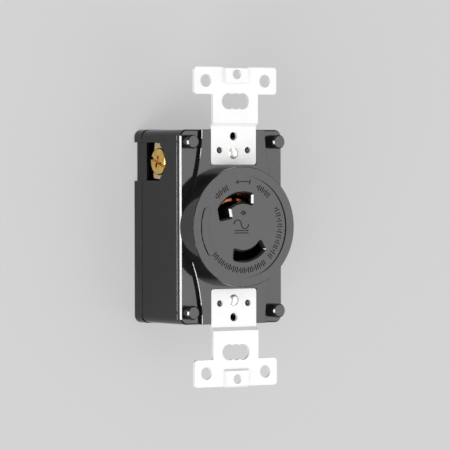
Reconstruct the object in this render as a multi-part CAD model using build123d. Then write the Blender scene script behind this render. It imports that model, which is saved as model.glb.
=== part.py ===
from build123d import *
import os
from math import cos, radians, sin, sqrt

# A flush-mounting locking receptacle, two poles, with two wall-box ears.
# Millimetres.  X runs to the right seen from the front, Z up along the ears and
# Y into the wall.  The origin is at the middle of the two box-screw slots, on
# the back face of the ears, which is the plane that rests on the wall box.

# ---- body, from the front
body_width = 40.2
body_height = 64.7
corner_radius = 2.5
face_y = 1.45             # the low face round the bosses
seam_y = 3.6              # the front cover meets the rear body here
rear_seam_y = 25.8        # the rear body meets the rear plate here
rear_y = 30.9
wall = 2.2
edge_chamfer = 0.5
seam_chamfer = 0.08
lip_depth = 1.8           # locating lips reach this far inside the rear body
lip_thickness = 1.1
lip_gap = 0.15
plate_overhang = 0.2
plate_front_fillet = 0.15
plate_rear_fillet = 0.8

# ---- round nose
nose_radius = 20.0
nose_front_y = -6.2
nose_wall = 2.2
nose_fillet = 0.3
rim_width = 3.1
rim_step = 0.4            # the middle lies this far behind the rim
middle_thickness = 2.2

# ---- raised plateau that carries the ears
plateau_y = 0.0
plateau_end_half_width = 12.5
plateau_side_radius = 58.0
plateau_root_z = 6.0      # the plateau starts inside the nose, at this height
plateau_chamfer = 0.14

# ---- four bosses on the low face, each over a threaded insert
boss_x = 17.0
boss_z = 28.3
boss_radius = 2.35
boss_height = 3.4
boss_chamfer = 0.45

# ---- plug slots, as the upper one; the lower one is half a turn round
slot_inner_radius = 8.25
slot_outer_radius = 11.25
slot_blunt_angle = 69.0   # where each end line crosses the slot's middle radius
slot_far_angle = 141.0
slot_end_lean = 20.7      # the end lines lean this far from radial
slot_lip = 0.6
slot_corner_radius = 0.3
leg_root_radius = 0.85    # the inside corner where the leg leaves the band
leg_tilt = 11.0
leg_left = -8.25
leg_bottom = 4.1
leg_width = 4.1
leg_height = 4.9

# ---- raised kidney and cut marks on the nose
kidney_radius = 15.1
kidney_width = 2.8
kidney_start = 160.0
kidney_end = 212.0
kidney_height = 0.35
kidney_round = 0.15
mark_depth = 0.3
mark_width = 0.36
mark_length = 2.1
mark_radius = 14.4
mark_pair_step = 0.77     # a shorter stroke stands beside each long one
mark_pair_shares = (0.8, 0.5)
mark_runs = ((46, 64, 4), (116, 134, 4), (-142, -58, 15), (-44, 22, 10))
arrow_radius = 15.1
arrow_half_angle = 10.0
arrow_head = 1.3
arrow_head_angle = 5.0
arrow_tail = 1.64
wave_x = -0.8
wave_z = 0.9
loop_radius = 1.25        # the two half loops of the wave in the middle
bar_length = 5.6
bar_heights = (-1.2, -2.0)
ring_mark_z = 4.7         # a small ring with a bar through it, above the wave
ring_mark_radius = 0.8

# ---- ears
ear_thickness = 1.2
ear_bar_width = 32.5
ear_top_z = 53.1
ear_bar_bottom_z = 44.1
ear_neck_width = 17.8
ear_corner_radius = 1.2
pad_front_y = 0.06        # the part of the ear that lies on the cover
pad_end_z = 20.7
bend_z = 34.0
bend_length = 1.2
pad_pocket_gap = 0.12
box_screw_pitch = 83.5
box_screw_lobe_radius = 2.7
box_screw_lobe_step = 2.7
bar_hole_radius = 2.15
bar_hole_x = 11.65
bar_hole_z = 48.55
tab_width = 8.6
tab_bottom_z = 47.3
tab_raise = 0.95
tab_flare = 0.8           # the tab's root is wider by this on each side
tab_side_angle = 35.0
tab_wall = 0.7
tab_overhang = 0.3        # it ends this far beyond the bar
tab_hole_radius = 1.65
tab_hole_z = 50.7
plate_screw_pitch = 60.3  # the wall plate's screws
plate_screw_radius = 1.45
plate_screw_room_radius = 2.1
plate_screw_room_y = 11.0

# ---- what holds the ears to the cover
rivet_z = 24.5
rivet_radius = 1.4
rivet_hole_gap = 0.04
rivet_head_radius = 1.95
rivet_head_height = 0.85
rivet_tail_height = 0.7
peg_x = 5.55
peg_z = 25.5
peg_radius = 1.0
peg_hole_radius = 1.12
peg_sink = 0.3
peg_round = 0.85
peg_root = 0.3            # the peg runs on this far into the cover

# ---- terminals, as the upper left one; the other is half a turn round
screw_y = 16.4
screw_z = 21.75
screw_face_x = -19.9      # outer face of the head with the screw backed off
screw_head_radius = 4.6
screw_head_height = 2.5
screw_head_round = 1.1
screw_radius = 2.5
screw_length = 8.0
screw_tip_chamfer = 0.5
screw_travel = 3.0
closed_gap = 0.05         # left between the plates with the screw run down
thread_gap = 0.06
screw_recess_width = 1.1
screw_recess_depth = 1.3
screw_recess_turn = 110.0 # the long slot leans down towards the rear
screw_cross_share = 0.45  # reach of the cross, as a share of the head's radius
screw_cross_depth = 0.5   # the cross goes this much deeper
screw_tip_room = 0.4
clamp_side = 12.0
clamp_thickness = 1.3
clamp_tilt = 4.0
clamp_corner = 0.8
clamp_ridge = 0.3
clamp_ridge_step = 0.9
relief_radius = 5.7
window_front_y = 14.1
window_rear_y = 24.8
window_bottom_z = 15.4
window_top_z = 28.2
channel_depth = 1.3
channel_front_y = 22.0
channel_margin = 0.1
terminal_thickness = 1.6
terminal_rear_y = 23.4
terminal_bottom_z = 15.6
terminal_top_z = 27.9
terminal_back_gap = 0.1
pocket_bottom_z = 14.9
pocket_top_z = 28.7
pocket_wall = 2.0
wire_hole_radius = 3.0
wire_hole_step = 3.9      # to each side of the screw
wire_mouth = 0.7
gauge_width = 0.8         # the strip gauge: a groove as long as the bared wire
gauge_depth = 0.5
gauge_length = 11.0

# ---- contacts, as the upper one
leaf_radius = 8.6         # inside of the inner leaf
leaf_thickness = 0.8
leaf_spacing = 1.4        # a plug's blade springs the two leaves further apart
lock_front_y = -0.8       # the fingers the blade is turned into
lock_start = 62.0
lock_end = 86.0
upper_entry_front_y = 0.8 # the finger the blade goes in beside, in each pole
lower_entry_front_y = 6.0
entry_start = 92.0
entry_end = 130.0
spring_thickness = 0.5
spring_front_y = 0.5
spring_gap = 0.05
spring_foot_right_x = 2.5
spring_end_step = 2.0     # the spring stops this many degrees short of its leaf
contact_base_y = 9.3
contact_base_thickness = 1.2
tongue_right_x = -3.6
tongue_bottom_z = 13.3
tongue_top_z = 19.1
contact_rivet_x = (-9.3, -5.4)
contact_rivet_z = 16.3
contact_rivet_radius = 1.0
contact_rivet_head = 1.6
contact_rivet_cap = 0.6
hub_radius = 7.0
carrier_web = 2.4
carrier_gap = 0.1
leg_room = 0.5
leg_room_y = 7.5
floor_y = 12.2
floor_thickness = 2.0

# ---- screws that close the housing
cover_screw_radius = 1.25
cover_screw_gap = 0.1
cover_screw_head_radius = 2.2
cover_screw_head_height = 1.6
cover_screw_front_y = 1.5
cover_post_radius = 3.1
cover_post_y = 8.0
driver_room = 0.5
small_head_round = 0.64
cross_length = 2.64
cross_width = 0.66
cross_depth = 1.1
insert_radius = 1.95
insert_front_y = 1.2
insert_rear_y = 3.3
insert_gap = 0.02
plate_bolt_z = 28.3
plate_bolt_radius = 1.25
plate_bolt_tip_y = 17.0
plate_post_radius = 2.8
plate_bolt_sink = 2.0
plate_bolt_gap = 0.1
plate_bolt_head_gap = 0.3

# ---- worked out from the sizes above
half_width = body_width / 2
half_height = body_height / 2
middle_y = nose_front_y + rim_step
middle_back_y = middle_y + middle_thickness
pad_back_y = pad_front_y + ear_thickness
head_under_x = screw_face_x + screw_head_height
clamp_inner_x = head_under_x + clamp_thickness
terminal_x = clamp_inner_x + screw_travel + closed_gap
terminal_back_x = terminal_x + terminal_thickness
outer_leaf_radius = leaf_radius + leaf_thickness + leaf_spacing
pocket_wall_x = terminal_back_x + terminal_back_gap
wire_x = (clamp_inner_x + terminal_x) / 2
tongue_y = contact_base_y + contact_base_thickness
tongue_back_y = tongue_y + terminal_thickness
slot_middle_radius = (slot_inner_radius + slot_outer_radius) / 2
lug_half_width = plate_screw_room_radius + wall
lug_bottom_z = plate_screw_pitch / 2 - plate_screw_room_radius - wall / 2
far = 4 * body_height     # longer than anything, for cutting tools


# ---- drawing helpers

def slab(face, front_y, back_y):
    """A face drawn in X and Z, made solid from front_y back to back_y."""
    return extrude(Plane.XZ.offset(-back_y) * face, amount=back_y - front_y)


def block(x0, x1, y0, y1, z0, z1):
    return Pos((x0 + x1) / 2, (y0 + y1) / 2, (z0 + z1) / 2) * Box(x1 - x0, y1 - y0, z1 - z0)


def rod_x(radius, x0, x1, y, z):
    return Pos((x0 + x1) / 2, y, z) * Rot(0, 90, 0) * Cylinder(radius, x1 - x0)


def rod_y(radius, y0, y1, x, z):
    return Pos(x, (y0 + y1) / 2, z) * Rot(90, 0, 0) * Cylinder(radius, y1 - y0)


def on_circle(radius, angle):
    """A point in X and Z, by its radius and its angle from +X."""
    return (radius * cos(radians(angle)), radius * sin(radians(angle)))


def arc_band(inner, outer, start, end):
    """A flat piece of a ring between two angles."""
    middle = (start + end) / 2
    outer_arc = ThreePointArc(on_circle(outer, start), on_circle(outer, middle), on_circle(outer, end))
    inner_arc = ThreePointArc(on_circle(inner, end), on_circle(inner, middle), on_circle(inner, start))
    far_side = Line(on_circle(outer, end), on_circle(inner, end))
    near_side = Line(on_circle(inner, start), on_circle(outer, start))
    return make_face([outer_arc, far_side, inner_arc, near_side])


def half_turn(shape):
    """The opposite copy, half a turn round the Y axis."""
    return Rot(0, 180, 0) * shape


def body_outline(grow=0.0):
    return RectangleRounded(body_width + 2 * grow, body_height + 2 * grow, corner_radius)


def inside_outline(shrink=0.0):
    """The inside of the walls, less a clearance."""
    inset = 2 * (wall + shrink)
    return RectangleRounded(body_width - inset, body_height - inset, corner_radius / 2)


def lip_ring(front_y, back_y):
    """A locating lip that follows the inside of the walls."""
    ring = inside_outline(lip_gap) - inside_outline(lip_gap + lip_thickness)
    return slab(ring, front_y, back_y)


def four_corners(x, z):
    return [(side * x, end * z) for side in (-1, 1) for end in (-1, 1)]


# ---- front cover

def slot_end_cut(angle, lean, keep_side):
    """A half-plane that ends a plug slot; keep_side is -1 or 1."""
    point = on_circle(slot_middle_radius, angle)
    return Pos(*point) * Rot(0, 0, angle + lean) * Pos(0, keep_side * far / 2) * Rectangle(far, far)


def slot_outline(with_leg):
    """The through part of a plug slot."""
    ring = Circle(slot_outer_radius) - Circle(slot_inner_radius)
    upper = Pos(0, far / 2) * Rectangle(far, far)
    blunt = slot_end_cut(slot_blunt_angle, slot_end_lean, 1)
    if not with_leg:
        return ring & upper & blunt & slot_end_cut(slot_far_angle, -slot_end_lean, -1)
    beyond = Rot(0, 0, leg_tilt) * Pos(leg_left + far / 2, leg_bottom + far / 2) * Rectangle(far, far)
    leg_middle = Pos(leg_left + leg_width / 2, leg_bottom + leg_height / 2)
    leg = Rot(0, 0, leg_tilt) * leg_middle * Rectangle(leg_width, leg_height)
    return (ring & upper & blunt & beyond) + (leg & Circle(slot_outer_radius))


def slot_tool(with_leg):
    """A plug slot as a cutting tool, its corners rounded."""
    tool = slab(slot_outline(with_leg), middle_y - 1, middle_back_y + 1)
    if not with_leg:
        return fillet(tool.edges().filter_by(Axis.Y), slot_corner_radius)
    across = leg_left + leg_width
    up = sqrt(slot_inner_radius ** 2 - across ** 2)
    turn = radians(leg_tilt)
    root_x = across * cos(turn) - up * sin(turn)
    root_z = across * sin(turn) + up * cos(turn)

    def from_root(edge):
        centre = edge.center()
        return sqrt((centre.X - root_x) ** 2 + (centre.Z - root_z) ** 2)

    tool = fillet(sorted(tool.edges().filter_by(Axis.Y), key=from_root)[0], leg_root_radius)
    sharp = sorted(tool.edges().filter_by(Axis.Y), key=from_root)[2:]
    return fillet(sharp, slot_corner_radius)


def nose_face():
    """The slotted middle of the nose, with a sloping lip round each slot."""
    plate = slab(Circle(nose_radius - rim_width), middle_y, middle_back_y)
    plate = plate - slot_tool(True) - half_turn(slot_tool(False))
    front = plate.faces().sort_by(Axis.Y)[0]
    return chamfer([edge for wire in front.inner_wires() for edge in wire.edges()], slot_lip)


def kidney():
    half = kidney_width / 2
    band = arc_band(kidney_radius - half, kidney_radius + half, kidney_start, kidney_end)
    ends = [Pos(*on_circle(kidney_radius, angle)) * Circle(half) for angle in (kidney_start, kidney_end)]
    raised = slab(band + ends, middle_y - kidney_height, middle_y + mark_depth)
    return fillet(raised.faces().sort_by(Axis.Y)[0].edges(), kidney_round)


def cut_marks():
    """Plain strokes round the middle, and a curved arrow at the top."""
    cuts = []
    for start, end, count in mark_runs:
        for index in range(count):
            angle = start + (end - start) * index / (count - 1)
            turn = Rot(0, 0, angle)
            cuts.append(turn * Pos(mark_radius, 0) * Rectangle(mark_length, mark_width))
            reach = mark_length * mark_pair_shares[index % 2]
            cuts.append(turn * Pos(mark_radius, mark_pair_step) * Rectangle(reach, mark_width))
    half = mark_width / 2
    tail, neck = 90 - arrow_half_angle, 90 + arrow_half_angle
    cuts.append(arc_band(arrow_radius - half, arrow_radius + half, tail, neck))
    tip = neck + arrow_head_angle / 2
    cuts.append(make_face(Polyline(
        on_circle(arrow_radius, tip),
        on_circle(arrow_radius + arrow_head / 2, tip - arrow_head_angle),
        on_circle(arrow_radius - arrow_head / 2, tip - arrow_head_angle),
        close=True,
    )))
    cuts.append(Rot(0, 0, tail) * Pos(arrow_radius, 0) * Rectangle(arrow_tail, mark_width))
    return [slab(cut, middle_y - 1, middle_y + mark_depth) for cut in cuts]


def middle_marks():
    """A plain wave over two bars, and a small barred ring, in the middle of the nose."""
    cuts = []
    for side in (-1, 1):
        start = 0 if side < 0 else 180
        arc = arc_band(loop_radius, loop_radius + mark_width, start, start + 180)
        cuts.append(Pos(wave_x + side * (loop_radius + mark_width / 2), wave_z) * arc)
    for height in bar_heights:
        cuts.append(Pos(wave_x, height) * Rectangle(bar_length, mark_width))
    ring = Circle(ring_mark_radius) - Circle(ring_mark_radius - mark_width)
    cuts.append(Pos(0, ring_mark_z) * (ring + Rectangle(3 * ring_mark_radius, mark_width)))
    return [slab(cut, middle_y - 1, middle_y + mark_depth) for cut in cuts]


def nose_shell():
    rim = Circle(nose_radius) - Circle(nose_radius - rim_width)
    ring = slab(rim, nose_front_y, middle_back_y)
    front_edges = ring.faces().sort_by(Axis.Y)[0].edges().sort_by(SortBy.LENGTH)
    ring = fillet(front_edges[-1], nose_fillet)
    side = slab(Circle(nose_radius) - Circle(nose_radius - nose_wall), middle_back_y - 1, seam_y)
    return ring + side


def plateau():
    """The raised middle of the cover: its sides curve out to meet the nose."""
    centre_x = plateau_end_half_width + plateau_side_radius

    def side_x(z):
        return centre_x - sqrt(plateau_side_radius ** 2 - (half_height - z) ** 2)

    middle_z = (plateau_root_z + half_height) / 2
    root = side_x(plateau_root_z)
    end = plateau_end_half_width
    right = ThreePointArc((root, plateau_root_z), (side_x(middle_z), middle_z), (end, half_height))
    left = ThreePointArc((-end, half_height), (-side_x(middle_z), middle_z), (-root, plateau_root_z))
    outline = make_face([
        Line((-root, plateau_root_z), (root, plateau_root_z)),
        right,
        Line((end, half_height), (-end, half_height)),
        left,
    ])
    solid = slab(outline, plateau_y, seam_y)
    front_edges = solid.faces().sort_by(Axis.Y)[0].edges().sort_by(Axis.Z)[1:]
    return chamfer(front_edges, plateau_chamfer)


def wall_plate_screw_room(front_y):
    """A channel in the end wall for the point of a wall-plate screw."""
    z = plate_screw_pitch / 2
    radius = plate_screw_room_radius
    channel = rod_y(radius, front_y, plate_screw_room_y, 0, z)
    return channel + block(-radius, radius, front_y, plate_screw_room_y, z, z + body_height / 4)


def front_cover():
    base = slab(body_outline(), face_y, seam_y)
    base = chamfer(base.faces().sort_by(Axis.Y)[0].edges(), edge_chamfer)
    base = chamfer(base.faces().sort_by(Axis.Y)[-1].edges(), seam_chamfer)
    cover = base + plateau() + half_turn(plateau())
    for x, z in four_corners(boss_x, boss_z):
        boss = rod_y(boss_radius, face_y - boss_height, seam_y, x, z)
        cover += chamfer(boss.faces().sort_by(Axis.Y)[0].edges(), boss_chamfer)
    cover -= rod_y(nose_radius - nose_wall / 2, -far, far, 0, 0)
    cover += nose_shell() + nose_face() + kidney()
    for cut in cut_marks() + middle_marks():
        cover -= cut
    pocket_half = ear_neck_width / 2 + pad_pocket_gap
    pocket = block(-pocket_half, pocket_half, -far, pad_back_y, pad_end_z - pad_pocket_gap, far)
    lip = lip_ring(seam_y - 0.5, seam_y + lip_depth)
    lip -= block(-far, far, -far, far, -nose_radius / 2, nose_radius / 2)
    lip -= rod_y(nose_radius - nose_wall, -far, far, 0, 0)
    for end in (pocket, half_turn(pocket)):
        cover -= end
    cover += lip
    for x, z in four_corners(peg_x, peg_z):
        peg = rod_y(peg_radius, pad_front_y + peg_sink, pad_back_y + peg_root, x, z)
        cover += fillet(peg.faces().sort_by(Axis.Y)[0].edges(), peg_round)
    for x, z in four_corners(boss_x, boss_z):
        cover -= rod_y(insert_radius + insert_gap, insert_front_y, seam_y + lip_depth + 1, x, z)
        cover -= rod_y(cover_post_radius + lip_gap, seam_y, seam_y + lip_depth + 1, x, z)
    room = wall_plate_screw_room(pad_back_y - 0.01)
    relief = block(-lug_half_width - lip_gap, lug_half_width + lip_gap, seam_y, far, lug_bottom_z, far)
    rivet_hole = rod_y(rivet_radius + rivet_hole_gap, -far, far, 0, rivet_z)
    for tool in (room, relief, rivet_hole):
        cover -= tool
        cover -= half_turn(tool)
    return cover


# ---- rear body

def terminal_pocket():
    """The chamber behind the window, open to the front and to the rear."""
    chamber = block(-half_width + wall, pocket_wall_x, seam_y, far, pocket_bottom_z, pocket_top_z)
    window = block(-far, pocket_wall_x, window_front_y, window_rear_y, window_bottom_z, window_top_z)
    relief = rod_x(relief_radius, -far, pocket_wall_x, screw_y, screw_z)
    tip_hole = rod_x(screw_radius + screw_tip_room, -far, 0, screw_y, screw_z)
    return chamber + window + relief + tip_hole


def side_channel():
    """The shallow outside channel that runs back from the window."""
    low, high = window_bottom_z - channel_margin, window_top_z + channel_margin
    return block(-far, -half_width + channel_depth, channel_front_y, far, low, high)


def pocket_walls():
    """The inner and lower walls that close a terminal chamber off."""
    inner = block(
        pocket_wall_x, pocket_wall_x + pocket_wall, floor_y, rear_seam_y,
        pocket_bottom_z - pocket_wall, half_height - wall / 2,
    )
    lower = block(
        -half_width + wall / 2, pocket_wall_x + pocket_wall, floor_y, rear_seam_y,
        pocket_bottom_z - pocket_wall, pocket_bottom_z,
    )
    upper = block(
        -half_width + wall / 2, pocket_wall_x + pocket_wall, floor_y, rear_seam_y,
        pocket_top_z, half_height - wall / 2,
    )
    return inner + lower + upper


def driver_well(x, z):
    """Room behind a cover screw for its head and the driver."""
    return rod_y(cover_screw_head_radius + driver_room, cover_post_y, floor_y + floor_thickness, x, z)


def rear_body():
    body = slab(body_outline(), seam_y, rear_seam_y)
    by_y = body.faces().sort_by(Axis.Y)
    body = chamfer(by_y[0].edges() + by_y[-1].edges(), seam_chamfer)
    body -= slab(inside_outline(), seam_y, floor_y)
    body -= slab(inside_outline(), floor_y + floor_thickness, rear_seam_y)
    outline = slab(body_outline(), seam_y, rear_seam_y)
    for x, z in four_corners(boss_x, boss_z):
        body += rod_y(cover_post_radius, seam_y, cover_post_y, x, z) & outline
    lug = block(-lug_half_width, lug_half_width, seam_y, floor_y, lug_bottom_z, half_height - wall / 2)
    post = rod_y(plate_post_radius, floor_y, rear_seam_y, 0, plate_bolt_z)
    for tool in (lug, post, pocket_walls()):
        body += tool
        body += half_turn(tool)
    rivet_wells = [
        rod_y(contact_rivet_head + carrier_gap, floor_y, floor_y + floor_thickness, x, contact_rivet_z)
        for x in contact_rivet_x
    ]
    bolt_hole = rod_y(plate_bolt_radius + thread_gap, plate_bolt_tip_y - 1, rear_seam_y, 0, plate_bolt_z)
    room = wall_plate_screw_room(seam_y)
    for tool in [terminal_pocket(), side_channel(), bolt_hole, room] + rivet_wells:
        body -= tool
        body -= half_turn(tool)
    for x, z in four_corners(boss_x, boss_z):
        body -= rod_y(cover_screw_radius + cover_screw_gap, seam_y, cover_post_y, x, z)
        body -= driver_well(x, z)
    return body


# ---- rear plate

def wire_hole(z):
    hole = rod_y(wire_hole_radius, rear_seam_y - lip_depth - 1, rear_y, wire_x, z)
    mouth = Pos(wire_x, rear_y - wire_mouth / 2, z) * Rot(90, 0, 0)
    return hole + mouth * Cone(wire_hole_radius + wire_mouth, wire_hole_radius, wire_mouth)


def rear_plate():
    plate = slab(body_outline(plate_overhang), rear_seam_y, rear_y)
    plate = fillet(plate.faces().sort_by(Axis.Y)[-1].edges(), plate_rear_fillet)
    plate = fillet(plate.faces().sort_by(Axis.Y)[0].edges(), plate_front_fillet)
    lip = lip_ring(rear_seam_y - lip_depth, rear_seam_y + 0.5)
    pocket_room = block(
        -half_width, pocket_wall_x + pocket_wall + lip_gap, 0, rear_seam_y,
        pocket_bottom_z - pocket_wall - lip_gap, half_height,
    )
    post_room = rod_y(plate_post_radius + lip_gap, 0, rear_seam_y, 0, plate_bolt_z)
    for tool in (pocket_room, post_room):
        lip -= tool
        lip -= half_turn(tool)
    plate += lip
    bolt_hole = rod_y(plate_bolt_radius + plate_bolt_gap, rear_seam_y - 1, rear_y, 0, plate_bolt_z)
    sink_radius = cover_screw_head_radius + plate_bolt_head_gap
    bolt_sink = rod_y(sink_radius, rear_y - plate_bolt_sink, far, 0, plate_bolt_z)
    gauge_left, gauge_right = wire_x - gauge_width / 2, wire_x + gauge_width / 2
    gauge = block(gauge_left, gauge_right, rear_y - gauge_depth, far, 0, gauge_length)
    holes = [wire_hole(screw_z + side * wire_hole_step) for side in (-1, 1)]
    for tool in [bolt_hole, bolt_sink, side_channel(), gauge] + holes:
        plate -= tool
        plate -= half_turn(tool)
    return plate


# ---- ears

def ear_blank():
    """The bent strip, before its holes: T-shaped bar, bend and pad."""
    bend_top, bend_bottom = bend_z + bend_length / 2, bend_z - bend_length / 2
    bar_middle, bar_height = (ear_top_z + ear_bar_bottom_z) / 2, ear_top_z - ear_bar_bottom_z
    bar = Pos(0, bar_middle) * RectangleRounded(ear_bar_width, bar_height, ear_corner_radius)
    neck_height = ear_bar_bottom_z + ear_corner_radius - bend_top
    neck = Pos(0, bend_top + neck_height / 2) * Rectangle(ear_neck_width, neck_height)
    front = slab(bar + neck, -ear_thickness, 0)
    half_neck = ear_neck_width / 2
    profile = make_face(Polyline(
        (-ear_thickness, bend_top), (0, bend_top), (pad_back_y, bend_bottom), (pad_front_y, bend_bottom),
        close=True,
    ))
    bend = extrude(Plane.YZ.offset(-half_neck) * profile, amount=ear_neck_width)
    pad = block(-half_neck, half_neck, pad_front_y, pad_back_y, pad_end_z, bend_bottom)
    pad = fillet(pad.edges().filter_by(Axis.Y).group_by(Axis.Z)[0], ear_corner_radius * 0.75)
    return front + bend + pad


def tab():
    """The pressed-up tab with the tapped hole, and the hollow behind it."""
    height = ear_top_z + tab_overhang - tab_bottom_z
    middle = Pos(0, tab_bottom_z + height / 2)
    root = middle * RectangleRounded(tab_width + 2 * tab_flare, height, tab_flare)
    raised = extrude(Plane.XZ.offset(ear_thickness - 0.01) * root, amount=tab_raise, taper=tab_side_angle)
    bottom, width = tab_bottom_z + 2 * tab_wall, tab_width - 2 * tab_wall
    top = ear_top_z + tab_overhang - tab_wall / 4
    hollow = slab(Pos(0, (bottom + top) / 2) * Rectangle(width, top - bottom), -tab_raise, 0)
    return raised, hollow


def box_screw_slot():
    z = box_screw_pitch / 2
    lobes = [
        rod_y(box_screw_lobe_radius, -far, far, step * box_screw_lobe_step, z)
        for step in (-1, 0, 1)
    ]
    return lobes[0] + lobes[1] + lobes[2]


def mounting_ear():
    raised, hollow = tab()
    ear = ear_blank() + raised - hollow - box_screw_slot()
    for side in (-1, 1):
        ear -= rod_y(bar_hole_radius, -far, far, side * bar_hole_x, bar_hole_z)
        ear -= rod_y(peg_hole_radius, -far, far, side * peg_x, peg_z)
    ear -= rod_y(tab_hole_radius, -far, far, 0, tab_hole_z)
    ear -= rod_y(plate_screw_radius, -far, far, 0, plate_screw_pitch / 2)
    ear -= rod_y(rivet_radius + rivet_hole_gap, -far, far, 0, rivet_z)
    return ear


def ear_rivet():
    """A domed rivet through the pad and the cover, spread behind."""
    dome_radius = (rivet_head_radius ** 2 + rivet_head_height ** 2) / (2 * rivet_head_height)
    top_y = pad_front_y - rivet_head_height
    head = rod_y(rivet_head_radius, top_y, pad_front_y, 0, rivet_z)
    head = head & Pos(0, top_y + dome_radius, rivet_z) * Sphere(dome_radius)
    shank = rod_y(rivet_radius, pad_front_y, seam_y, 0, rivet_z)
    tail = rod_y(rivet_head_radius, seam_y, seam_y + rivet_tail_height, 0, rivet_z)
    tail = chamfer(tail.faces().sort_by(Axis.Y)[-1].edges(), rivet_tail_height / 2)
    return head + shank + tail


# ---- terminals

def screw_recess():
    """A cross recess with one long slot, cut in the face of a terminal screw."""
    deep = screw_face_x + screw_recess_depth
    half = screw_recess_width / 2
    slot = block(screw_face_x - 1, deep, -half, half, -screw_head_radius, screw_head_radius)
    reach = screw_head_radius * screw_cross_share
    cross = block(screw_face_x - 1, deep + screw_cross_depth, -reach, reach, -half, half)
    turned = Rot(screw_recess_turn, 0, 0) * (slot + cross)
    return Pos(0, screw_y, screw_z) * turned


def terminal_screw():
    head = rod_x(screw_head_radius, screw_face_x, head_under_x, screw_y, screw_z)
    head = fillet(head.faces().sort_by(Axis.X)[0].edges(), screw_head_round)
    shank = rod_x(screw_radius, head_under_x, head_under_x + screw_length, screw_y, screw_z)
    shank = chamfer(shank.faces().sort_by(Axis.X)[-1].edges(), screw_tip_chamfer)
    return head + shank - screw_recess()


def clamp_plate():
    """The square plate under the screw head that presses the wires down."""
    plate = Box(clamp_thickness, clamp_side, clamp_side)
    plate = fillet(plate.edges().filter_by(Axis.X), clamp_corner)
    for side in (-1, 1):
        for step in (-clamp_ridge_step, clamp_ridge_step):
            groove = Box(2 * clamp_ridge, far, clamp_ridge)
            plate -= Pos(clamp_thickness / 2, 0, side * wire_hole_step + step) * groove
    plate = Pos((head_under_x + clamp_inner_x) / 2, screw_y, screw_z) * Rot(clamp_tilt, 0, 0) * plate
    return plate - rod_x(screw_radius + thread_gap, -far, 0, screw_y, screw_z)


def terminal_bracket():
    """The tapped terminal plate and the tongue that joins it to its contact."""
    plate = block(terminal_x, terminal_back_x, tongue_y, terminal_rear_y, terminal_bottom_z, terminal_top_z)
    tongue = block(terminal_x, tongue_right_x, tongue_y, tongue_back_y, tongue_bottom_z, tongue_top_z)
    bracket = plate + tongue - rod_x(screw_radius + thread_gap, -far, 0, screw_y, screw_z)
    for x in contact_rivet_x:
        bracket -= rod_y(contact_rivet_radius, 0, far, x, contact_rivet_z)
    return bracket


# ---- contacts

def leaf(inner, start, end, front_y):
    return slab(arc_band(inner, inner + leaf_thickness, start, end), front_y, tongue_y)


def blade_contact(entry_front_y):
    """Curved leaves on one base, which grip the plug's blade."""
    contact = leaf(leaf_radius, entry_start, entry_end, entry_front_y)
    for inner in (leaf_radius, outer_leaf_radius):
        contact += leaf(inner, lock_start, lock_end, lock_front_y)
    base = arc_band(leaf_radius, outer_leaf_radius + leaf_thickness, lock_start, entry_end)
    contact += slab(base, contact_base_y, tongue_y)
    left = contact_rivet_x[0] - contact_rivet_head
    contact += block(left, tongue_right_x, contact_base_y, tongue_y, slot_middle_radius, tongue_top_z)
    for x in contact_rivet_x:
        contact -= rod_y(contact_rivet_radius, 0, far, x, contact_rivet_z)
    return contact


def backing_spring():
    """A steel leaf that presses the outer contact leaf inwards."""
    inner = outer_leaf_radius + leaf_thickness + spring_gap
    outer = inner + spring_thickness
    foot_y = contact_base_y - spring_thickness
    band = arc_band(inner, outer, lock_start, lock_end - spring_end_step)
    spring = slab(band, spring_front_y, contact_base_y)
    left = contact_rivet_x[0] - contact_rivet_head
    foot = block(left, tongue_right_x, foot_y, contact_base_y, 0, tongue_top_z)
    foot += block(tongue_right_x - 1, spring_foot_right_x, foot_y, contact_base_y, 0, outer)
    foot -= rod_y(inner, 0, far, 0, 0)
    spring += foot
    for x in contact_rivet_x:
        spring -= rod_y(contact_rivet_radius, 0, far, x, contact_rivet_z)
    return spring


def upper_contact():
    return blade_contact(upper_entry_front_y)


def lower_contact():
    return half_turn(blade_contact(lower_entry_front_y))


def contact_rivets():
    """Rivets that hold spring, contact and terminal together."""
    front_y = contact_base_y - spring_thickness
    rivets = []
    for x in contact_rivet_x:
        z = contact_rivet_z
        head = rod_y(contact_rivet_head, front_y - contact_rivet_cap, front_y, x, z)
        head = fillet(head.faces().sort_by(Axis.Y)[0].edges(), contact_rivet_cap / 2)
        tail = rod_y(contact_rivet_head, tongue_back_y, tongue_back_y + contact_rivet_cap, x, z)
        rivets.append(head + rod_y(contact_rivet_radius, front_y, tongue_back_y, x, z) + tail)
    return rivets


def contact_carrier():
    """The insulating post and web that keep the two poles apart."""
    front = middle_back_y + carrier_gap
    back = floor_y
    carrier = rod_y(hub_radius, front, back, 0, 0)
    web_half = min(nose_radius - nose_wall, half_width - wall) - 2 * carrier_gap
    carrier += block(-web_half, web_half, front, back, -carrier_web / 2, carrier_web / 2)
    leg_middle = Pos(leg_left + leg_width / 2, leg_bottom + leg_height / 2)
    room = Rectangle(leg_width + 2 * leg_room, leg_height + 2 * leg_room)
    return carrier - slab(Rot(0, 0, leg_tilt) * leg_middle * room, front, leg_room_y)


# ---- screws and inserts

def cross_recess(face_y, x, z):
    """A small cross, to be cut in a screw head."""
    across = Box(cross_length, 2 * cross_depth, cross_width)
    along = Box(cross_width, 2 * cross_depth, cross_length)
    return Pos(x, face_y, z) * (across + along)


def pan_screw(radius, head_radius, head_height, tip_y, seat_y, x, z):
    """A screw whose head sits on seat_y and looks to the rear."""
    shank = rod_y(radius, tip_y, seat_y, x, z)
    shank = chamfer(shank.faces().sort_by(Axis.Y)[0].edges(), radius / 3)
    head = rod_y(head_radius, seat_y, seat_y + head_height, x, z)
    head = fillet(head.faces().sort_by(Axis.Y)[-1].edges(), small_head_round)
    return shank + head - cross_recess(seat_y + head_height, x, z)


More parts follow.
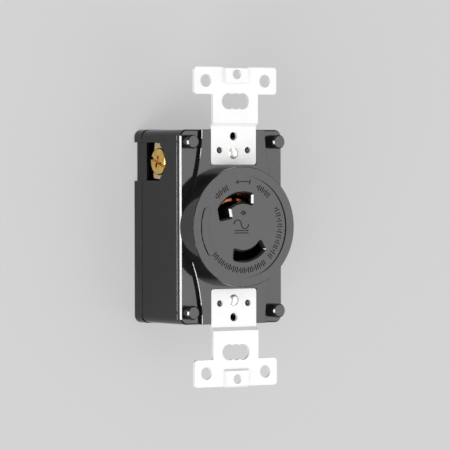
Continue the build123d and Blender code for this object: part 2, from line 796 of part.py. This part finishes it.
def cover_screws():
    size = (cover_screw_radius, cover_screw_head_radius, cover_screw_head_height)
    corners = four_corners(boss_x, boss_z)
    return [pan_screw(*size, cover_screw_front_y, cover_post_y, x, z) for x, z in corners]


def rear_plate_screws():
    seat = rear_y - plate_bolt_sink
    size = (plate_bolt_radius, cover_screw_head_radius, cover_screw_head_height)
    screw = pan_screw(*size, plate_bolt_tip_y, seat, 0, plate_bolt_z)
    return [screw, half_turn(screw)]


def threaded_inserts():
    inserts = []
    for x, z in four_corners(boss_x, boss_z):
        insert = rod_y(insert_radius, insert_front_y, insert_rear_y, x, z)
        insert -= rod_y(cover_screw_radius + thread_gap, 0, seam_y, x, z)
        inserts.append(insert)
    return inserts


# ---- one STEP file for each piece

def save(name, shape):
    parts = shape if isinstance(shape, list) else [shape]
    solids = [solid for part in parts for solid in part.solids()]
    export_step(Compound(children=solids), f"parts/{name}.step")


pieces = {
    "front_cover": front_cover,
    "rear_body": rear_body,
    "rear_plate": rear_plate,
    "contact_carrier": contact_carrier,
    "cover_screws": cover_screws,
    "threaded_inserts": threaded_inserts,
    "rear_plate_screws": rear_plate_screws,
    "upper_contact": upper_contact,
    "lower_contact": lower_contact,
}

# the upper piece as modelled, and its twin half a turn round
twins = {
    ("upper_ear", "lower_ear"): mounting_ear,
    ("upper_ear_rivet", "lower_ear_rivet"): ear_rivet,
    ("upper_contact_spring", "lower_contact_spring"): backing_spring,
    ("upper_contact_rivets", "lower_contact_rivets"): contact_rivets,
    ("left_terminal_plate", "right_terminal_plate"): terminal_bracket,
    ("left_clamp_plate", "right_clamp_plate"): clamp_plate,
    ("left_terminal_screw", "right_terminal_screw"): terminal_screw,
}

os.makedirs("parts", exist_ok=True)
for name, build in pieces.items():
    save(name, build())
for (first, second), build in twins.items():
    shape = build()
    save(first, shape)
    parts = shape if isinstance(shape, list) else [shape]
    save(second, [half_turn(part) for part in parts])
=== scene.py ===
import math
import bpy
import bmesh
from mathutils import Matrix, Vector


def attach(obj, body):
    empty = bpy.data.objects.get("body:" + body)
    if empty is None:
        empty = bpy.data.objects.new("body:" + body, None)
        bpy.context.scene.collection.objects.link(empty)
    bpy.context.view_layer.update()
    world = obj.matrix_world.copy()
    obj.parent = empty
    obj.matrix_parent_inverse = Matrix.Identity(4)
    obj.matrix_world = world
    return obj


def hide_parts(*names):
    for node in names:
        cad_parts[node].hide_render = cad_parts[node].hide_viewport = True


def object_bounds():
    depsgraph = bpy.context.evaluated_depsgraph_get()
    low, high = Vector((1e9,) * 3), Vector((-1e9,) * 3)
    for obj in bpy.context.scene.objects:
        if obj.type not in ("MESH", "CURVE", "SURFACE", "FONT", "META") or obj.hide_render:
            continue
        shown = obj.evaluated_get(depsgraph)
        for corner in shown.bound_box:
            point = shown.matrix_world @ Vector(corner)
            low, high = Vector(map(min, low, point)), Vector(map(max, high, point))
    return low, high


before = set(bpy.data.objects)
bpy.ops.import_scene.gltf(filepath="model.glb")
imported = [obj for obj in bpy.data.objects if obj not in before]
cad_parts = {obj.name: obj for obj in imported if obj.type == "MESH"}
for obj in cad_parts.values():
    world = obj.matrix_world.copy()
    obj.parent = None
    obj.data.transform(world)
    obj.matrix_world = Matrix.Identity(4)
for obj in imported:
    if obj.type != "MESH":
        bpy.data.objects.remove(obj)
cad_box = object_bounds()

# ---- Front cover
# One moulding in black glossy plastic: the slotted round nose, the plateau that
# carries the ears and four bosses.  It closes the housing from the front and is
# held by screws from behind.


class Reading:
    """One output of a shader node. Arithmetic on it adds Math nodes."""

    def __init__(self, finish, socket):
        self.finish, self.socket = finish, socket

    def __add__(self, other):
        return self.finish.math("ADD", self, other)

    def __sub__(self, other):
        return self.finish.math("SUBTRACT", self, other)

    def __rsub__(self, other):
        return self.finish.math("SUBTRACT", other, self)

    def __mul__(self, other):
        return self.finish.math("MULTIPLY", self, other)

    __radd__, __rmul__ = __add__, __mul__

    def spread(self, low, high):
        """0 up to low, 1 from high on, and a soft rise between them."""
        return self.finish.node(
            "ShaderNodeMapRange", {"interpolation_type": "SMOOTHSTEP"},
            {"Value": self, "From Min": low, "From Max": high},
        )


class Finish:
    """A material, and the one way nodes are added to it."""

    def __init__(self, name):
        self.material = bpy.data.materials.new(name)
        self.material.use_nodes = True
        self.tree = self.material.node_tree
        self.tree.nodes.clear()
        place = self.node("ShaderNodeTexCoord", output="Object")
        self.millimetres = self.scaled(place, 1000)

    def node(self, kind, settings=None, inputs=None, output=0):
        made = self.tree.nodes.new(kind)
        for key, value in (settings or {}).items():
            setattr(made, key, value)
        for key, value in (inputs or {}).items():
            if isinstance(value, Reading):
                self.tree.links.new(value.socket, made.inputs[key])
            else:
                made.inputs[key].default_value = value
        return Reading(self, made.outputs[output])

    def math(self, operation, *values):
        return self.node("ShaderNodeMath", {"operation": operation}, dict(enumerate(values)))

    def scaled(self, vector, *scale):
        scale = scale * 3 if len(scale) == 1 else scale
        return self.node("ShaderNodeVectorMath", {"operation": "MULTIPLY"}, {0: vector, 1: scale})

    def length(self, vector):
        return self.node("ShaderNodeVectorMath", {"operation": "LENGTH"}, {0: vector}, output="Value")

    def noise(self, scale, detail=2.0, roughness=0.5, stretch=None):
        """A noise with so many bumps to the millimetre, fewer along a stretched axis."""
        place = self.scaled(self.millimetres, *stretch) if stretch else self.millimetres
        return self.node("ShaderNodeTexNoise", {}, {
            "Vector": place, "Scale": scale, "Detail": detail, "Roughness": roughness,
        })

    def blend(self, share, first, second):
        """The first colour where share is 0, the second where it is 1."""
        inputs = {0: share, 6: first, 7: second}
        inputs = {key: (*value, 1) if isinstance(value, tuple) else value for key, value in inputs.items()}
        return self.node("ShaderNodeMix", {"data_type": "RGBA"}, inputs, output=2)

    def bumped(self, height, depth_mm, over=None):
        inputs = {"Height": height, "Distance": depth_mm / 1000, "Strength": 1.0}
        if over is not None:
            inputs["Normal"] = over
        return self.node("ShaderNodeBump", {}, inputs)

    def surface(self, **inputs):
        inputs = {name.replace("_", " "): value for name, value in inputs.items()}
        return self.made_of(self.node("ShaderNodeBsdfPrincipled", {}, inputs))

    def made_of(self, shader):
        end = self.tree.nodes.new("ShaderNodeOutputMaterial")
        self.tree.links.new(shader.socket, end.inputs["Surface"])
        return self.material


FILLER_GREY = (0.035, 0.035, 0.037)
# Painted shade: the colour given to the floors of the cut marks, darker than the plastic.
CUT_FLOOR_SHADE_BLACK = (0.006, 0.006, 0.006)


def glossy_moulding(name, dark, pale, roughness, shade_and_matt_where=None, ior=1.5):
    """Black thermoset: a clean gloss, faint mottling, filler specks and mould ripple; where a mask is
    given, painted shade darkens those floors and they are made matt.
    """
    black = Finish(name)
    mottle = black.noise(0.35, 4, 0.6).spread(0.35, 0.7)
    specks = black.noise(9, 2, 0.6).spread(0.66, 0.74)
    ripple = black.noise(0.28, 2)
    grain = black.noise(3.2, 3, 0.6)
    colour = black.blend(mottle, dark, pale)
    colour = black.blend(specks * 0.35, colour, FILLER_GREY)
    waves = black.bumped(ripple, 0.006)
    fine = black.bumped(grain, 0.0006, over=waves)
    rough = grain * 0.05 + mottle * 0.02 + roughness
    if shade_and_matt_where is not None:
        # Painted shade on the masked floors: a darker colour; the added roughness is a real matt cut.
        dull = shade_and_matt_where(black)
        colour = black.blend(dull, colour, CUT_FLOOR_SHADE_BLACK)
        rough = rough + dull * 0.5
    return black.surface(Base_Color=colour, Roughness=rough, Normal=fine, IOR=ior)


CREASE = math.radians(33)   # a sharper edge than this stays crisp
FLAT = math.radians(0.4)    # faces that meet flatter than this are one wall
OPEN_EDGE = 9               # the angle given to an edge with one face
SQUARE_MM = 1e6
BIG_WALL_PULL = 1.5         # how far a corner's normal leans to its larger walls


def corner_normals(bm):
    """A normal for each face corner: curved walls smooth, flat ones flat, edges crisp."""
    region_of, areas = {}, []
    for face in bm.faces:
        if face.index in region_of:
            continue
        pile, area = [face], 0.0
        region_of[face.index] = len(areas)
        while pile:
            one = pile.pop()
            area += one.calc_area()
            for edge in one.edges:
                if len(edge.link_faces) == 2 and edge.calc_face_angle(OPEN_EDGE) < FLAT:
                    for other in edge.link_faces:
                        if other.index not in region_of:
                            region_of[other.index] = len(areas)
                            pile.append(other)
        areas.append(area)
    normals = {}
    for vert in bm.verts:
        left = set(vert.link_faces)
        while left:
            pile = [left.pop()]
            fan = list(pile)
            while pile:
                one = pile.pop()
                for edge in one.edges:
                    if vert in edge.verts and edge.calc_face_angle(OPEN_EDGE) < CREASE:
                        for other in edge.link_faces:
                            if other in left:
                                left.remove(other)
                                pile.append(other)
                                fan.append(other)
            total = Vector()
            for face in fan:
                wall = areas[region_of[face.index]] * SQUARE_MM
                total += face.normal * wall ** BIG_WALL_PULL
            total.normalize()
            for face in fan:
                normals[face.index, vert.index] = total
    return normals


MERGE_REACH, SLIVER = 2e-7, 1e-8


def piece(name, body, finish):
    """A CAD node's surface, joined up and shaded as one skin, in place of the node."""
    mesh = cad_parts[name].data.copy()
    mesh.name = name + "_skin"
    bm = bmesh.new()
    bm.from_mesh(mesh)
    bmesh.ops.remove_doubles(bm, verts=bm.verts, dist=MERGE_REACH)
    bmesh.ops.dissolve_degenerate(bm, edges=bm.edges, dist=SLIVER)
    bm.verts.ensure_lookup_table()
    bm.verts.index_update()
    bm.faces.index_update()
    bm.normal_update()
    normals = corner_normals(bm)
    for face in bm.faces:
        face.smooth = True
        face.material_index = 0
    bm.to_mesh(mesh)
    bm.free()
    mesh.normals_split_custom_set([
        normals[poly.index, mesh.loops[index].vertex_index]
        for poly in mesh.polygons for index in poly.loop_indices
    ])
    mesh.materials.clear()
    mesh.materials.append(finish)
    skin = bpy.data.objects.new(name + "_skin", mesh)
    bpy.context.scene.collection.objects.link(skin)
    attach(skin, body)
    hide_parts(name)
    return skin


# Where each mark fades in or out, in millimetres: by radius, aside and in depth.
STROKES_START, STROKES_END = (12.4, 12.5), (16.9, 17.0)
MIDDLE_END, MIDDLE_SIDE = (6.4, 6.5), (4.0, 4.1)
FLOORS_START, FLOORS_END = (-5.78, -5.72), (-5.3, -5.2)


def cut_floors(black):
    """1 on the floors of the marks cut in the nose, 0 elsewhere; these floors get painted shade and a matt
    finish.
    """
    across = black.node("ShaderNodeSeparateXYZ", {}, {0: black.millimetres}, output="X")
    depth = black.node("ShaderNodeSeparateXYZ", {}, {0: black.millimetres}, output="Y")
    radius = black.length(black.scaled(black.millimetres, 1, 0, 1))
    ring_of_strokes = radius.spread(*STROKES_START) * (1 - radius.spread(*STROKES_END))
    aside = black.math("ABSOLUTE", across)
    middle_marks = (1 - radius.spread(*MIDDLE_END)) * (1 - aside.spread(*MIDDLE_SIDE))
    below_the_face = depth.spread(*FLOORS_START) * (1 - depth.spread(*FLOORS_END))
    return (ring_of_strokes + middle_marks) * below_the_face


# The floors of the marks cut in the nose get painted shade (darker) and a real matt finish.
COVER_BLACK = glossy_moulding(
    "cover_black", (0.011, 0.011, 0.012), (0.015, 0.015, 0.016), 0.07, cut_floors,
)
piece("front_cover", "housing", COVER_BLACK)

# ---- Rear body
# The deep black box behind the seam, in the same plastic, with a window in each
# long side for the terminal screws. Its colour is painted darker than the cover's, as shade for its dim
# side walls.

# Painted shade: the same plastic as the cover, in a darker colour for the dim side walls.
BODY_SHADE_DARKENED_BLACK = glossy_moulding(
    "body_shade_darkened_black", (0.006, 0.006, 0.007), (0.009, 0.009, 0.010), 0.09, ior=1.44,
)
piece("rear_body", "housing", BODY_SHADE_DARKENED_BLACK)

# ---- Rear plate
# The thick plate that closes the box.  Wires go in through its four holes, and a
# groove beside them shows how much of a wire to strip.

# Painted shade: a darker colour than the cover's plastic, for the plate's dim side walls.
PLATE_SHADE_DARKENED_BLACK = glossy_moulding(
    "plate_shade_darkened_black", (0.008, 0.008, 0.009), (0.012, 0.012, 0.013), 0.12, ior=1.44,
)
piece("rear_plate", "housing", PLATE_SHADE_DARKENED_BLACK)

# ---- Contact carrier
# A matt post and web, moulded in a fibre-filled plastic, that keep the two poles
# apart behind the nose.

carrier = Finish("carrier_black")
fibres = carrier.noise(2.4, 4, 0.7, (1, 0.25, 1))
CARRIER_BLACK = carrier.surface(
    Base_Color=carrier.blend(fibres, (0.012, 0.012, 0.012), (0.035, 0.034, 0.033)),
    Roughness=fibres * 0.15 + 0.45, Normal=carrier.bumped(fibres, 0.02),
)
piece("contact_carrier", "housing", CARRIER_BLACK)

# ---- Ears
# Two bent steel strips, white all over, that carry the receptacle on a wall box.
# Each lies in a pocket of the cover and is held there by its rivet and two pegs.

paint = Finish("ear_white")
peel = paint.noise(1.1, 3, 0.55)
cloud = paint.noise(0.09, 3, 0.6).spread(0.3, 0.7)
EAR_WHITE = paint.surface(
    Base_Color=paint.blend(cloud, (0.90, 0.905, 0.90), (0.86, 0.865, 0.862)),
    Roughness=peel * 0.12 + 0.3, Normal=paint.bumped(peel, 0.006),
)
for end in ("upper", "lower"):
    piece(end + "_ear", "housing", EAR_WHITE)

# ---- Ear rivets
# Domed rivets, nickel plated, spread behind the cover.

nickel = Finish("rivet_nickel")
worn = nickel.noise(1.6, 4, 0.6)
RIVET_NICKEL = nickel.surface(
    Base_Color=nickel.blend(worn, (0.97, 0.94, 0.91), (0.88, 0.84, 0.81)),
    Metallic=1.0, Roughness=worn * 0.15 + 0.36, Normal=nickel.bumped(worn, 0.004),
)
for end in ("upper", "lower"):
    piece(end + "_ear_rivet", "housing", RIVET_NICKEL)

# ---- Terminal screws
# Brass pan-head screws, turned: fine rings run round the head, whose cross has
# one long arm.  The thread is a ridge on a slimmer core; its pitch is what each
# screw draws its clamp plate in by at every turn.

SCREW_Y, SCREW_Z = 0.0164, 0.02175   # the left screw's axis
SHANK_START = 0.0174        # the head's underside, from the middle of the body
PITCH, TURNS = 0.0008, 8.5
PLAIN_START = 0.0006        # the bare shank under the head
CREST, THREAD_DEPTH = 0.0025, 0.00035
HELIX_SIDES, RIDGE_CORNERS = 28, 4
LATHE_RINGS = 26            # radians of ripple to the millimetre
HAIR = 1e-5


def turned_brass(name, z):
    """Brass with rings about a screw's axis at the given height."""
    brass = Finish(name)
    axis = (0, SCREW_Y * 1000, z * 1000)
    away = brass.node("ShaderNodeVectorMath", {"operation": "SUBTRACT"}, {0: brass.millimetres, 1: axis})
    radius = brass.length(brass.scaled(away, 0, 1, 1))
    rings = brass.math("SINE", radius * LATHE_RINGS)
    stain = brass.noise(0.5, 4, 0.65).spread(0.35, 0.75)
    colour = brass.blend(stain, (0.85, 0.57, 0.17), (0.62, 0.37, 0.10))
    return brass.surface(
        Base_Color=colour, Metallic=1.0, Roughness=stain * 0.12 + 0.2,
        Normal=brass.bumped(rings, 0.004),
    )


def thread_tree():
    """A thread along X: a helix of the given pitch, swept with a four-cornered ridge."""
    tree = bpy.data.node_groups.new("rolled_thread", "GeometryNodeTree")
    for name, kind in (
        ("Pitch", "Float"), ("Turns", "Float"), ("Crest Radius", "Float"), ("Depth", "Float"),
        ("Start", "Vector"), ("Material", "Material"),
    ):
        tree.interface.new_socket(name=name, in_out="INPUT", socket_type="NodeSocket" + kind)
    tree.interface.new_socket(name="Geometry", in_out="OUTPUT", socket_type="NodeSocketGeometry")
    given = tree.nodes.new("NodeGroupInput")

    def add(kind, links, values=None, settings=None):
        made = tree.nodes.new(kind)
        for key, value in (settings or {}).items():
            setattr(made, key, value)
        for key, value in (values or {}).items():
            made.inputs[key].default_value = value
        for key, socket in links.items():
            tree.links.new(socket, made.inputs[key])
        return made.outputs[0] if made.outputs else None

    core = add(
        "ShaderNodeMath", {0: given.outputs["Crest Radius"], 1: given.outputs["Depth"]},
        settings={"operation": "SUBTRACT"},
    )
    length = add(
        "ShaderNodeMath", {0: given.outputs["Pitch"], 1: given.outputs["Turns"]},
        settings={"operation": "MULTIPLY"},
    )
    helix = add("GeometryNodeCurveSpiral", {
        "Rotations": given.outputs["Turns"], "Start Radius": core, "End Radius": core, "Height": length,
    }, {"Resolution": HELIX_SIDES})
    upright = add("GeometryNodeSetCurveNormal", {"Curve": helix}, settings={"mode": "Z_UP"})
    ridge = add(
        "GeometryNodeCurvePrimitiveCircle", {"Radius": given.outputs["Depth"]},
        {"Resolution": RIDGE_CORNERS}, {"mode": "RADIUS"},
    )
    swept = add("GeometryNodeCurveToMesh", {"Curve": upright, "Profile Curve": ridge}, {"Fill Caps": True})
    laid = add(
        "GeometryNodeTransform", {"Geometry": swept, "Translation": given.outputs["Start"]},
        {"Rotation": (0, math.pi / 2, 0)},
    )
    real = add("GeometryNodeRealizeInstances", {"Geometry": laid})
    painted = add("GeometryNodeSetMaterial", {"Geometry": real, "Material": given.outputs["Material"]})
    add("NodeGroupOutput", {"Geometry": painted})
    return tree


THREAD = thread_tree()
HALF_TURN = Matrix.Rotation(math.pi, 4, "Y")


def thread_mesh(brass):
    """The thread of the left screw, as a plain mesh."""
    holder = bpy.data.objects.new("thread_maker", bpy.data.meshes.new("thread_maker"))
    bpy.context.scene.collection.objects.link(holder)
    maker = holder.modifiers.new("thread", "NODES")
    maker.node_group = THREAD
    sizes = {
        "Pitch": PITCH, "Turns": TURNS, "Crest Radius": CREST, "Depth": THREAD_DEPTH,
        "Start": (PLAIN_START - SHANK_START, SCREW_Y, SCREW_Z), "Material": brass,
    }
    for item in THREAD.interface.items_tree:
        if item.in_out == "INPUT":
            maker[item.identifier] = sizes[item.name]
    seen = holder.evaluated_get(bpy.context.evaluated_depsgraph_get())
    mesh = bpy.data.meshes.new_from_object(seen)
    holder.modifiers.remove(maker)
    bpy.data.objects.remove(holder)
    return mesh


def slim_shank(screw, z):
    """Draws the plain shank in to the root of the thread."""
    root = CREST - THREAD_DEPTH
    for vert in screw.data.vertices:
        out = Vector((0, vert.co.y - SCREW_Y, vert.co.z - z))
        if abs(vert.co.x) < SHANK_START + HAIR and root < out.length < CREST + HAIR:
            vert.co -= out * (1 - root / out.length)


for side, z in (("left", SCREW_Z), ("right", -SCREW_Z)):
    screw_brass = turned_brass(side + "_screw_brass", z)
    slim_shank(piece(side + "_terminal_screw", side + "_screw", screw_brass), z)
    mesh = thread_mesh(screw_brass)
    if side == "right":
        mesh.transform(HALF_TURN)
    thread = bpy.data.objects.new(side + "_screw_thread", mesh)
    bpy.context.scene.collection.objects.link(thread)
    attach(thread, side + "_screw")

# ---- Clamp plates and terminal plates
# Square brass plates under the screw heads press the wires on tapped plates of
# the same strip, which lead on to the contacts.

strip = Finish("strip_brass")
drawn = strip.noise(4, 3, 0.6, (1, 0.08, 1))
dull = strip.noise(0.4, 3, 0.6).spread(0.35, 0.7)
STRIP_BRASS = strip.surface(
    Base_Color=strip.blend(dull, (0.90, 0.70, 0.45), (0.78, 0.57, 0.33)),
    Metallic=1.0, Roughness=drawn * 0.15 + 0.3, Normal=strip.bumped(drawn, 0.005),
)
for side in ("left", "right"):
    piece(side + "_clamp_plate", side + "_clamp", STRIP_BRASS)
    piece(side + "_terminal_plate", "housing", STRIP_BRASS)

# ---- Contacts
# Curved leaves of a copper alloy behind each slot grip the plug's blade; steel
# leaves press them inwards, and rivets join them to the terminal plates.

alloy = Finish("contact_copper")
rolled = alloy.noise(3, 3, 0.6, (1, 0.1, 1))
tint = alloy.noise(0.45, 4, 0.6).spread(0.35, 0.7)
CONTACT_COPPER = alloy.surface(
    Base_Color=alloy.blend(tint, (0.42, 0.16, 0.065), (0.22, 0.07, 0.028)),
    Metallic=1.0, Roughness=rolled * 0.15 + 0.34, Normal=alloy.bumped(rolled, 0.006),
)
spring = Finish("spring_steel")
ground = spring.noise(5, 3, 0.6, (0.1, 1, 1))
SPRING_STEEL = spring.surface(
    Base_Color=spring.blend(ground, (0.62, 0.61, 0.60), (0.48, 0.47, 0.46)),
    Metallic=1.0, Roughness=ground * 0.15 + 0.25, Normal=spring.bumped(ground, 0.004),
)
for end in ("upper", "lower"):
    piece(end + "_contact", "housing", CONTACT_COPPER)
    piece(end + "_contact_spring", "housing", SPRING_STEEL)
    piece(end + "_contact_rivets", "housing", STRIP_BRASS)

# ---- Screws and inserts of the housing
# Small zinc-plated screws close the housing from behind; the four long ones bite
# in brass inserts inside the bosses.

zinc = Finish("zinc_plate")
spangle = zinc.noise(1.4, 4, 0.6)
ZINC = zinc.surface(
    Base_Color=zinc.blend(spangle, (0.72, 0.72, 0.73), (0.55, 0.56, 0.57)),
    Metallic=1.0, Roughness=spangle * 0.2 + 0.25, Normal=zinc.bumped(spangle, 0.004),
)
piece("cover_screws", "housing", ZINC)
piece("rear_plate_screws", "housing", ZINC)
piece("threaded_inserts", "housing", STRIP_BRASS)

# ---- Backdrop
# A pale sheet with a light of its own, just behind the housing.  It is open where the
# housing stands on it and let through from behind; dark discs behind the wire holes
# are painted shade, standing for the dark inside the holes.

SHEET_GAP = 0.0002
SHEET_Y = cad_box[1][1] + SHEET_GAP
OPEN_X, OPEN_Z, REACH = 0.018, 0.0318, 3.0
WIRE_X, WIRE_Z = 0.014575, (0.01785, 0.02565)
DISC_RADIUS, DISC_SIDES = 0.0038, 24


def seen_from_the_front(finish, shader):
    """A material that shows the shader in front and nothing behind."""
    behind = finish.node("ShaderNodeNewGeometry", output="Backfacing")
    clear = finish.node("ShaderNodeBsdfTransparent")
    return finish.made_of(finish.node("ShaderNodeMixShader", {}, {0: behind, 1: shader, 2: clear}))


pale = Finish("pale_sheet")
paper = pale.node("ShaderNodeBsdfDiffuse", {}, {"Color": (0.31, 0.31, 0.312, 1), "Roughness": 0.6})
glow = pale.node("ShaderNodeEmission", {}, {"Color": (0.39, 0.39, 0.392, 1)})
lit_paper = pale.node("ShaderNodeAddShader", {}, {0: paper, 1: glow})
PALE_SHEET = seen_from_the_front(pale, lit_paper)
# Painted shade: near-black discs seen through the wire holes of the rear plate.
shade = Finish("painted_shade_disc")
dim = shade.node("ShaderNodeBsdfDiffuse", {}, {"Color": (0.02, 0.02, 0.02, 1)})
PAINTED_SHADE_DISC = seen_from_the_front(shade, dim)


def rectangle(half_x, half_z):
    return [(-half_x, -half_z), (half_x, -half_z), (half_x, half_z), (-half_x, half_z)]


points = rectangle(REACH, REACH) + rectangle(OPEN_X, OPEN_Z)
sheet_faces = [(n, (n + 1) % 4, 4 + (n + 1) % 4, 4 + n) for n in range(4)]
disc_faces = []
for z in WIRE_Z:
    for side in (-1, 1):
        disc_faces.append(tuple(range(len(points), len(points) + DISC_SIDES)))
        for step in range(DISC_SIDES):
            turned = math.tau * step / DISC_SIDES
            x = WIRE_X + DISC_RADIUS * math.cos(turned)
            points.append((side * x, side * (DISC_RADIUS * math.sin(turned) - z)))
backdrop_mesh = bpy.data.meshes.new("backdrop")
backdrop_mesh.from_pydata([(x, SHEET_Y, z) for x, z in points], [], sheet_faces + disc_faces)
backdrop_mesh.materials.append(PALE_SHEET)
backdrop_mesh.materials.append(PAINTED_SHADE_DISC)
for face in backdrop_mesh.polygons[len(sheet_faces):]:
    face.material_index = 1
backdrop = bpy.data.objects.new("backdrop", backdrop_mesh)
bpy.context.scene.collection.objects.link(backdrop)

# ---- Light
# An even studio and two low soft panels light what is matt.  A broad panel at the
# right and narrow ones at the left, above and below show only in the gloss, and
# two more stand behind.


def panel(name, towards, distance, width, height, brightness, gloss=True, matt=True):
    """A soft panel that faces the object, sizes in metres; brightness is its radiance."""
    data = bpy.data.lights.new(name, "AREA")
    data.shape, data.size, data.size_y = "RECTANGLE", width, height
    data.energy = brightness * math.pi * width * height
    lamp = bpy.data.objects.new(name, data)
    bpy.context.scene.collection.objects.link(lamp)
    facing = towards.to_track_quat("Z", "Y").to_matrix().to_4x4()
    lamp.matrix_world = Matrix.Translation(towards * distance) @ facing
    lamp.visible_camera = False
    lamp.visible_glossy, lamp.visible_diffuse = gloss, matt


def heading(azimuth, elevation):
    """A direction by its angle right of the front and its angle upwards."""
    a, e = math.radians(azimuth), math.radians(elevation)
    return Vector((math.sin(a) * math.cos(e), -math.cos(a) * math.cos(e), math.sin(e)))


panel("key_gloss", heading(34, 0), 1.2, 1.0, 1.3, 3.0, matt=False)
panel("low_left_matt", heading(-55, -30), 1.5, 1.0, 0.8, 3.6, gloss=False)
panel("low_right_matt", heading(40, -20), 1.5, 1.0, 0.8, 2.6, gloss=False)
panel("left_gloss", heading(-57.3, -8), 1.0, 0.11, 0.8, 26.0, matt=False)
panel("top_gloss", heading(25, 48), 1.0, 0.4, 0.2, 9.0, matt=False)
panel("bottom_gloss", heading(25, -48), 1.0, 0.4, 0.2, 9.0, matt=False)
panel("back_fill", heading(160, 35), 1.2, 1.0, 1.0, 2.5)
panel("back_side", heading(-130, 20), 1.2, 0.5, 1.2, 2.5)

STUDIO_GREY, GREY_IN_GLOSS, GREY_IN_VIEW = 0.62, 0.25, 0.64

world = bpy.data.worlds.new("studio")
bpy.context.scene.world = world
world.use_nodes = True
nodes, links = world.node_tree.nodes, world.node_tree.links
nodes.clear()


def even_grey(tone):
    made = nodes.new("ShaderNodeBackground")
    made.inputs["Color"].default_value = (tone, tone, tone, 1)
    return made


ray_kind = nodes.new("ShaderNodeLightPath")
studio = even_grey(STUDIO_GREY)
for ray, tone in (("Is Glossy Ray", GREY_IN_GLOSS), ("Is Camera Ray", GREY_IN_VIEW)):
    choice = nodes.new("ShaderNodeMixShader")
    links.new(ray_kind.outputs[ray], choice.inputs[0])
    links.new(studio.outputs[0], choice.inputs[1])
    links.new(even_grey(tone).outputs[0], choice.inputs[2])
    studio = choice
studio_end = nodes.new("ShaderNodeOutputWorld")
links.new(studio.outputs[0], studio_end.inputs["Surface"])

# ---- Camera
# A long lens, a little above, turned to the object's left side.

FROM_THE_LEFT, FROM_ABOVE, LEAN = 32.701, 0.892, math.radians(-0.129)
DISTANCE, LENS_MM, SENSOR_MM = 1.1606, 278.90, 36
NEAREST, FARTHEST = 0.05, 20
SIDESTEP, RISE = -0.00309959, 0.00050140   # for each metre of distance
AIM = Vector((0, -0.0012, 0))

back = heading(-FROM_THE_LEFT, FROM_ABOVE)
level = (-back).cross(Vector((0, 0, 1))).normalized()
upright = level.cross(-back)
across = math.cos(LEAN) * level + math.sin(LEAN) * upright
upwards = -math.sin(LEAN) * level + math.cos(LEAN) * upright
camera_data = bpy.data.cameras.new("camera")
camera_data.lens, camera_data.sensor_width = LENS_MM, SENSOR_MM
camera_data.clip_start, camera_data.clip_end = NEAREST, FARTHEST
camera = bpy.data.objects.new("camera", camera_data)
bpy.context.scene.collection.objects.link(camera)
spot = AIM + (back + across * SIDESTEP + upwards * RISE) * DISTANCE
turned = Matrix((across, upwards, back)).transposed().to_4x4()
camera.matrix_world = Matrix.Translation(spot) @ turned
bpy.context.scene.camera = camera
bpy.context.scene.view_settings.view_transform = "Standard"
